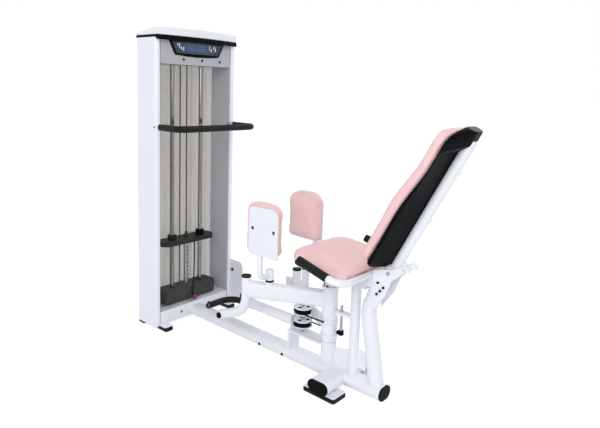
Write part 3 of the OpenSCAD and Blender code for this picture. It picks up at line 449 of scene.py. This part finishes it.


# Lift and return cables with their pulleys. Steel rope in a tight black nylon sleeve, over moulded black
# wheels that turn on plated bolts.
dress(trim, "return_cable", "top_pulley", "base_pulley")
dress(zinc, "pulley_axles")
cable_low, cable_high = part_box("lift_cable")
middle = (cable_low + cable_high) / 2
cable_length, carriage_travel, cable_steps = cable_high.z - cable_low.z, 0.22, 220
lift_rope = rope("lift_rope", [Vector((middle.x, middle.y, cable_low.z + cable_length * i / cable_steps))
                               for i in range(cable_steps + 1)], (cable_high.x - cable_low.x) / 2)
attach(lift_rope, "frame")
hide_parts("lift_cable")
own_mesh(lift_rope)


# Rear shield. A smoked acrylic sheet screwed behind the stack; its drawn-in dye greys the light,
# and fine upright streaks from the extrusion die run its whole height.
smoked, tree = new_material("smoked acrylic sheet")
place = add(tree, "ShaderNodeTexCoord").outputs["Object"]
drawn = add(tree, "ShaderNodeMapping", {"Vector": place, "Scale": (1, 1, 0.02)}).outputs[0]
streak = add(tree, "ShaderNodeTexNoise", {"Vector": drawn, "Scale": 1000 / 22, "Detail": 4.0}).outputs["Fac"]
tone = add(tree, "ShaderNodeMix", {0: streak, 6: linear("#9C9486"), 7: linear("#BDB5A6")},
           data_type="RGBA").outputs[2]
dye = add(tree, "ShaderNodeMapRange", {
    "Value": streak, "From Min": 0.3, "From Max": 0.7, "To Min": 0.5, "To Max": 0.42}).outputs["Result"]
pane = add(tree, "ShaderNodeBsdfPrincipled", {
    "Base Color": tone, "Roughness": 0.3, "IOR": 1.49, "Alpha": dye}).outputs[0]
add(tree, "ShaderNodeOutputMaterial", {"Surface": pane})
dress(smoked, "rear_shield")


# Front shield. A clear acrylic sheet over the left half of the stack, with a light grey tint,
# folded along its free edge; it only dims what stands behind it.
tinted, tree = new_material("tinted clear acrylic")
place = add(tree, "ShaderNodeTexCoord").outputs["Object"]
haze = add(tree, "ShaderNodeTexNoise", {"Vector": place, "Scale": 1000 / 80, "Detail": 2.0}).outputs["Fac"]
gloss = add(tree, "ShaderNodeMapRange", {"Value": haze, "To Min": 0.1, "To Max": 0.2}).outputs["Result"]
pane = add(tree, "ShaderNodeBsdfPrincipled", {
    "Base Color": linear("#66635A"), "Roughness": gloss, "IOR": 1.49, "Specular IOR Level": 0.3,
    "Alpha": 0.055}).outputs[0]
add(tree, "ShaderNodeOutputMaterial", {"Surface": pane})
dress(tinted, "front_shield")


# Top cover on its black band. The cover is vacuum-formed white ABS, satin, with broad soft edges drawn
# over the former; the band and hood below it are moulded black ABS. The sheet's fine grain is drawn
# at 1.6 mm, coarser than real, so that it shows.
moulded, tree = new_material("white moulded ABS")
place = add(tree, "ShaderNodeTexCoord").outputs["Object"]
grain = add(tree, "ShaderNodeTexNoise", {"Vector": place, "Scale": 1000 / 1.6, "Detail": 2.0}).outputs["Fac"]
cloud = add(tree, "ShaderNodeTexNoise", {"Vector": place, "Scale": 1000 / 120, "Detail": 2.0}).outputs["Fac"]
tone = add(tree, "ShaderNodeMix", {0: cloud, 6: linear("#E3E7ED"), 7: linear("#EDF0F5")},
           data_type="RGBA").outputs[2]
edge = add(tree, "ShaderNodeBevel", {"Radius": 0.0015}, samples=4).outputs["Normal"]
relief = add(tree, "ShaderNodeBump", {
    "Strength": 0.08, "Distance": 0.0002, "Height": grain, "Normal": edge}).outputs[0]
shell = add(tree, "ShaderNodeBsdfPrincipled", {
    "Base Color": tone, "Roughness": 0.4, "IOR": 1.53, "Normal": relief}).outputs[0]
add(tree, "ShaderNodeOutputMaterial", {"Surface": shell})
dress(moulded, "tower_cap")
touching = 1e-5
weld = nodes["tower_cap"].modifiers.new("weld", "WELD")
weld.merge_threshold = touching
former = nodes["tower_cap"].modifiers.new("former", "REMESH")
former.mode, former.voxel_size, former.use_smooth_shade = "VOXEL", 0.003, True
soften = nodes["tower_cap"].modifiers.new("soften", "SMOOTH")
soften.factor, soften.iterations = 0.5, 14
dress(trim, "cap_band")


# Lip of the band. A soft black PVC edging pushed over the band's bowed front edge,
# so the trim looks twice as deep there; one rounded section swept along the bow.
band_z, bow_x, merge = 1.465, -0.676, 0.002
plan = [v.co for v in nodes["cap_band"].data.vertices if v.co.z > band_z and v.co.x > bow_x]
bow = sorted({(round(p.y, 4), round(p.x, 4)) for p in plan})
outline = []
for y, x in bow:
    while outline and abs(outline[-1][0] - y) < merge:
        x = max(x, outline.pop()[1])
    outline.append((y, x))
section = [(0.0003, 1.4725), (0.0022, 1.472), (0.0032, 1.469), (0.0034, 1.4545), (0.0024, 1.4515),
           (0.0, 1.4505), (-0.0026, 1.4515), (-0.0034, 1.454), (-0.0034, 1.4606), (0.0003, 1.4606)]
corners, faces = [], []
for i, (y, x) in enumerate(outline):
    before, after = outline[max(i - 1, 0)], outline[min(i + 1, len(outline) - 1)]
    out = Vector((after[0] - before[0], before[1] - after[1])).normalized()
    corners += [(x + out.x * n, y + out.y * n, z) for n, z in section]
    if i:
        a, b, n = (i - 1) * len(section), i * len(section), len(section)
        faces += [(a + k, a + (k + 1) % n, b + (k + 1) % n, b + k) for k in range(n)]
faces += [tuple(range(len(section))), tuple(range(len(corners) - len(section), len(corners)))]
lip_mesh = bpy.data.meshes.new("band_lip")
lip_mesh.from_pydata(corners, [], faces)
shape = bmesh.new()
shape.from_mesh(lip_mesh)
bmesh.ops.recalc_face_normals(shape, faces=shape.faces)
shape.to_mesh(lip_mesh)
shape.free()
lip_mesh.materials.append(trim)
lip = bpy.data.objects.new("band_lip", lip_mesh)
scene.collection.objects.link(lip)
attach(lip, "frame")


# Placard. A dark blue printed polycarbonate sheet let into the hood,
# screen printed with plain pale bars and soft blue blocks.
middle_z, half_w, half_h = 1.425, 0.16, 0.038
print_blue, tree = new_material("printed polycarbonate placard")
place = add(tree, "ShaderNodeTexCoord").outputs["Object"]
blot = add(tree, "ShaderNodeTexNoise", {"Vector": place, "Scale": 1000 / 45, "Detail": 2.0}).outputs["Fac"]
tone = add(tree, "ShaderNodeMix", {0: blot, 6: linear("#141E33"), 7: linear("#3C557C")},
           data_type="RGBA").outputs[2]
centred = add(tree, "ShaderNodeMapping", {
    "Vector": place, "Location": (0, 0, -middle_z / half_h),
    "Scale": (0, 1 / half_w, 1 / half_h)}).outputs[0]
reach = add(tree, "ShaderNodeVectorMath", {0: centred}, operation="LENGTH").outputs["Value"]
rim = add(tree, "ShaderNodeMapRange", {"Value": reach, "From Min": 0.6, "From Max": 1.0}).outputs["Result"]
tone = add(tree, "ShaderNodeMix", {0: rim, 6: tone, 7: linear("#06080C")}, data_type="RGBA").outputs[2]
sheet_face = add(tree, "ShaderNodeBsdfPrincipled", {
    "Base Color": tone, "Roughness": 0.22, "IOR": 1.58}).outputs[0]
add(tree, "ShaderNodeOutputMaterial", {"Surface": sheet_face})
dress(print_blue, "placard")


def ink(name, low, high):
    """A screen-printed ink: flat colour with a faint mottle from the mesh it was pulled through."""
    material, tree = new_material(name)
    place = add(tree, "ShaderNodeTexCoord").outputs["Object"]
    mottle = add(tree, "ShaderNodeTexNoise", {
        "Vector": place, "Scale": 1000 / 6, "Detail": 2.0}).outputs["Fac"]
    tone = add(tree, "ShaderNodeMix", {0: mottle, 6: linear(low), 7: linear(high)},
               data_type="RGBA").outputs[2]
    face = add(tree, "ShaderNodeBsdfPrincipled", {"Base Color": tone, "Roughness": 0.35}).outputs[0]
    add(tree, "ShaderNodeOutputMaterial", {"Surface": face})
    return material


face_x, ink_lift, pale_ink, blue_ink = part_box("placard")[1].x, 0.0003, 0, 1
blocks = [(y, z, w, 0.004, blue_ink) for y, w in ((-0.066, 0.052), (-0.008, 0.058))
          for z in (1.437, 1.428, 1.419, 1.410)]
blocks += [(y, z, 0.007, h, pale_ink) for y, z, h in (
    (-0.128, 1.428, 0.014), (-0.117, 1.418, 0.024), (-0.106, 1.412, 0.012), (-0.093, 1.406, 0.02),
    (0.072, 1.420, 0.02), (0.083, 1.412, 0.014), (0.098, 1.425, 0.016), (0.109, 1.414, 0.024))]
print_mesh = bpy.data.meshes.new("placard_print")
corners, faces = [], []
for y, z, w, h, _ in blocks:
    faces.append([len(corners) + i for i in range(4)])
    corners += [(face_x + ink_lift, y + a * w, z + b * h) for a, b in ((0, 0), (1, 0), (1, 1), (0, 1))]
print_mesh.from_pydata(corners, [], faces)
print_mesh.materials.append(ink("pale print ink", "#B9C8D8", "#DCE5EE"))
print_mesh.materials.append(ink("mid blue print ink", "#3C5A80", "#5878A0"))
print_mesh.polygons.foreach_set("material_index", [b[4] for b in blocks])
placard_print = bpy.data.objects.new("placard_print", print_mesh)
scene.collection.objects.link(placard_print)
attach(placard_print, "frame")


# Grab bar and foot bars. Steel tube drawn into black rubber sleeves, seated in the columns' ferrules
# and on the stem; the sleeve is smooth enough for a soft highlight along its top.
dress(rubber, "grab_bar", "foot_bar")
end_disc_t = 0.0052
bar_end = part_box("foot_bar")[1].y - end_disc_t
touch_up("foot_bar", zinc, lambda centre, normal: abs(centre.y) > bar_end and abs(normal.y) < 0.5)


# Cable wheels and the arms' cables. Moulded white flanges on a black grooved core with three round
# windows, both wheels on one plated bolt; each cable is steel rope in a black nylon sleeve.
dress(moulded, "guide_pulley_upper", "guide_pulley_lower")
wheel_low, wheel_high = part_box("guide_pulley_upper")
wheel_x, wheel_r = (wheel_low.x + wheel_high.x) / 2, (wheel_high.x - wheel_low.x) / 2
flange_rim = 0.003
for name in ("guide_pulley_upper", "guide_pulley_lower"):
    touch_up(name, trim, lambda centre, normal: abs(normal.z) < 0.5 and
             math.hypot(centre.x - wheel_x, centre.y) < wheel_r - flange_rim)
dress(trim, "arm_cables")


# Swinging arms with their pad posts. Flat-oval beam, bent tube leg and turned hub, welded and powder
# coated; black plugs close the leg's ends, and a plated spring plunger with a black knob sets where
# the arms start.
dress(enamel, "left_arm", "right_arm", "left_pad_post", "right_pad_post")
dress(trim, "left_arm_caps", "right_arm_caps")
dress(zinc, "start_plunger")
knob_top = 0.2325
touch_up("start_plunger", trim, lambda centre, normal: centre.z < knob_top)


# Thigh pads. White moulded ABS plates, the right one cut narrower at its rear edge, carry foam pads in
# softly matt pink artificial leather, pulled tight so that each pad swells a little between its edges.
# The leather's pebble is drawn at 2.2 mm, coarser than real, so that it shows.
dress(moulded, "left_pad_shell", "right_pad_shell")
plate_mesh = nodes["right_pad_shell"].data.copy()
shape = bmesh.new()
shape.from_mesh(plate_mesh)
bmesh.ops.remove_doubles(shape, verts=shape.verts, dist=touching)
far_narrow, front_edge = 0.908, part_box("right_pad_shell")[0].x
for v in shape.verts:
    v.co.x = front_edge + (v.co.x - front_edge) * far_narrow
shape.to_mesh(plate_mesh)
shape.free()
plate = bpy.data.objects.new("right_thigh_plate", plate_mesh)
scene.collection.objects.link(plate)
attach(plate, "right_pad")
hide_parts("right_pad_shell")
leather, tree = new_material("pink artificial leather")
place = add(tree, "ShaderNodeTexCoord").outputs["Object"]
pebble = add(tree, "ShaderNodeTexVoronoi", {"Vector": place, "Scale": 1000 / 2.2}).outputs["Distance"]
cloud = add(tree, "ShaderNodeTexNoise", {"Vector": place, "Scale": 1000 / 70, "Detail": 3.0}).outputs["Fac"]
tone = add(tree, "ShaderNodeMix", {0: cloud, 6: linear("#E7BCBD"), 7: linear("#F2CECF")},
           data_type="RGBA").outputs[2]
gloss = add(tree, "ShaderNodeMapRange", {"Value": cloud, "To Min": 0.45, "To Max": 0.58}).outputs["Result"]
relief = add(tree, "ShaderNodeBump", {"Strength": 0.14, "Distance": 0.0004, "Height": pebble}).outputs[0]
cover = add(tree, "ShaderNodeBsdfPrincipled", {
    "Base Color": tone, "Roughness": gloss, "IOR": 1.45, "Sheen Weight": 0.15, "Normal": relief}).outputs[0]
add(tree, "ShaderNodeOutputMaterial", {"Surface": cover})


def upholster(name, node, body, back, inset, cap):
    """A stuffed cover grown from a CAD pad by cloth pressure, flat where back(point) is near zero."""
    voxel, relax, board_zone, fade, pressure, last_step = 0.005, 4, 0.006, 0.012, 4, 20
    mesh = nodes[node].data.copy()
    shape = bmesh.new()
    shape.from_mesh(mesh)
    bmesh.ops.remove_doubles(shape, verts=shape.verts, dist=touching)
    shape.to_mesh(mesh)
    shape.free()
    pad = bpy.data.objects.new(name, mesh)
    scene.collection.objects.link(pad)
    remesh = pad.modifiers.new("voxels", "REMESH")
    remesh.mode, remesh.voxel_size = "VOXEL", voxel
    smooth = pad.modifiers.new("smooth", "SMOOTH")
    smooth.factor, smooth.iterations = 0.5, relax
    even = bpy.data.meshes.new_from_object(pad.evaluated_get(bpy.context.evaluated_depsgraph_get()))
    pad.modifiers.clear()
    pad.data = even
    count = len(even.vertices)
    start, normal = np.zeros(count * 3), np.zeros(count * 3)
    even.vertices.foreach_get("co", start)
    even.vertices.foreach_get("normal", normal)
    start, normal = start.reshape(-1, 3), normal.reshape(-1, 3)
    loose = np.clip((np.array([back(p) for p in start]) - board_zone) / fade, 0, 1)[:, None]
    start -= normal * inset * loose
    even.vertices.foreach_set("co", start.ravel())
    held = pad.vertex_groups.new(name="held")
    for i in np.flatnonzero(loose[:, 0] < 0.5):
        held.add([int(i)], 1.0, "REPLACE")
    cloth = pad.modifiers.new("cloth", "CLOTH")
    cloth.settings.vertex_group_mass = "held"
    cloth.settings.use_pressure = True
    cloth.settings.uniform_pressure_force = pressure
    cloth.settings.quality = 4
    cloth.settings.effector_weights.gravity = 0
    cloth.collision_settings.use_collision = False
    for step in range(1, last_step + 1):
        scene.frame_set(step)
    swollen = bpy.data.meshes.new_from_object(pad.evaluated_get(bpy.context.evaluated_depsgraph_get()))
    moved = np.zeros(count * 3)
    swollen.vertices.foreach_get("co", moved)
    shift = moved.reshape(-1, 3) - start
    length = np.linalg.norm(shift, axis=1, keepdims=True)
    shift *= np.minimum(1, cap / np.maximum(length, 1e-9)) * loose
    pad.modifiers.clear()
    pad.vertex_groups.clear()
    scene.frame_set(1)
    even.vertices.foreach_set("co", (start + shift).ravel())
    even.polygons.foreach_set("use_smooth", [True] * len(even.polygons))
    fine = pad.modifiers.new("fine", "SUBSURF")
    fine.levels = fine.render_levels = 1
    even.materials.clear()
    even.materials.append(leather)
    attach(pad, body)
    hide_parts(node)


for side, sign, narrow in (("left", 1, 1.0), ("right", -1, far_narrow)):
    low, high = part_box(side + "_pad_shell")
    inner, outer = (high.y, low.y) if sign > 0 else (low.y, high.y)
    upholster(side + "_thigh_pad", side + "_pad_cushion", side + "_pad",
              lambda p, s=sign, y=inner: s * (p[1] - y), inset=0.0025, cap=0.005)
    screws(side + "_shell_screws", side + "_pad",
           start=(low.x + 0.024 * narrow, outer + sign * 0.0012, 0.641), step=(0.124 * narrow, 0, 0),
           count=2, radius=0.0072, height=0.003, turn=(90 * sign, 0, 0), socket=zinc)


# Seat. A powder-coated frame and bent handle, a black moulded board, and a foam seat in the same pink
# leather; the handle's ends carry black rubber grips.
dress(enamel, "seat_frame", "seat_handle")
dress(trim, "seat_board")
dress(rubber, "handle_grips")
tilt = math.radians(6)
seat_up = Vector((math.sin(tilt), 0, math.cos(tilt)))
seat_rest = max(Vector(v.co).dot(seat_up) for v in nodes["seat_board"].data.vertices)
upholster("seat_pad", "seat_cushion", "frame", lambda p: Vector(p).dot(seat_up) - seat_rest,
          inset=0.003, cap=0.006)


# Backrest. Two cut plates and a straight tube, powder coated and held by black bolts, a moulded black
# shell whose top is bridged into a rounded hood, and a long foam pad in pink leather over the shell.
dress(enamel, "recline_plates", "backrest_tube")
dress(oxide, "recline_bolts")
hood_h = 0.1
hood = bmesh.new()
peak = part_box("back_shell")[1].z
for v in nodes["back_shell"].data.vertices:
    if v.co.z > peak - hood_h:
        hood.verts.new(v.co)
bmesh.ops.remove_doubles(hood, verts=hood.verts, dist=touching)
hull = bmesh.ops.convex_hull(hood, input=hood.verts)
spare = {g for g in hull["geom_interior"] + hull["geom_unused"] if isinstance(g, bmesh.types.BMVert)}
bmesh.ops.delete(hood, geom=list(spare), context="VERTS")
hood.from_mesh(nodes["back_shell"].data)
moulding_mesh = bpy.data.meshes.new("back_moulding")
hood.to_mesh(moulding_mesh)
hood.free()
moulding_mesh.materials.append(trim)
moulding = bpy.data.objects.new("back_moulding", moulding_mesh)
scene.collection.objects.link(moulding)
former = moulding.modifiers.new("former", "REMESH")
former.mode, former.voxel_size, former.use_smooth_shade = "VOXEL", 0.0035, True
soften = moulding.modifiers.new("soften", "SMOOTH")
soften.factor, soften.iterations = 0.5, 10
moulding.data = bpy.data.meshes.new_from_object(
    moulding.evaluated_get(bpy.context.evaluated_depsgraph_get()))
moulding.modifiers.clear()
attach(moulding, "backrest")
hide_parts("back_shell")
upholster("back_pad", "back_cushion", "backrest", lambda p: 1.0, inset=0.004, cap=0.005)
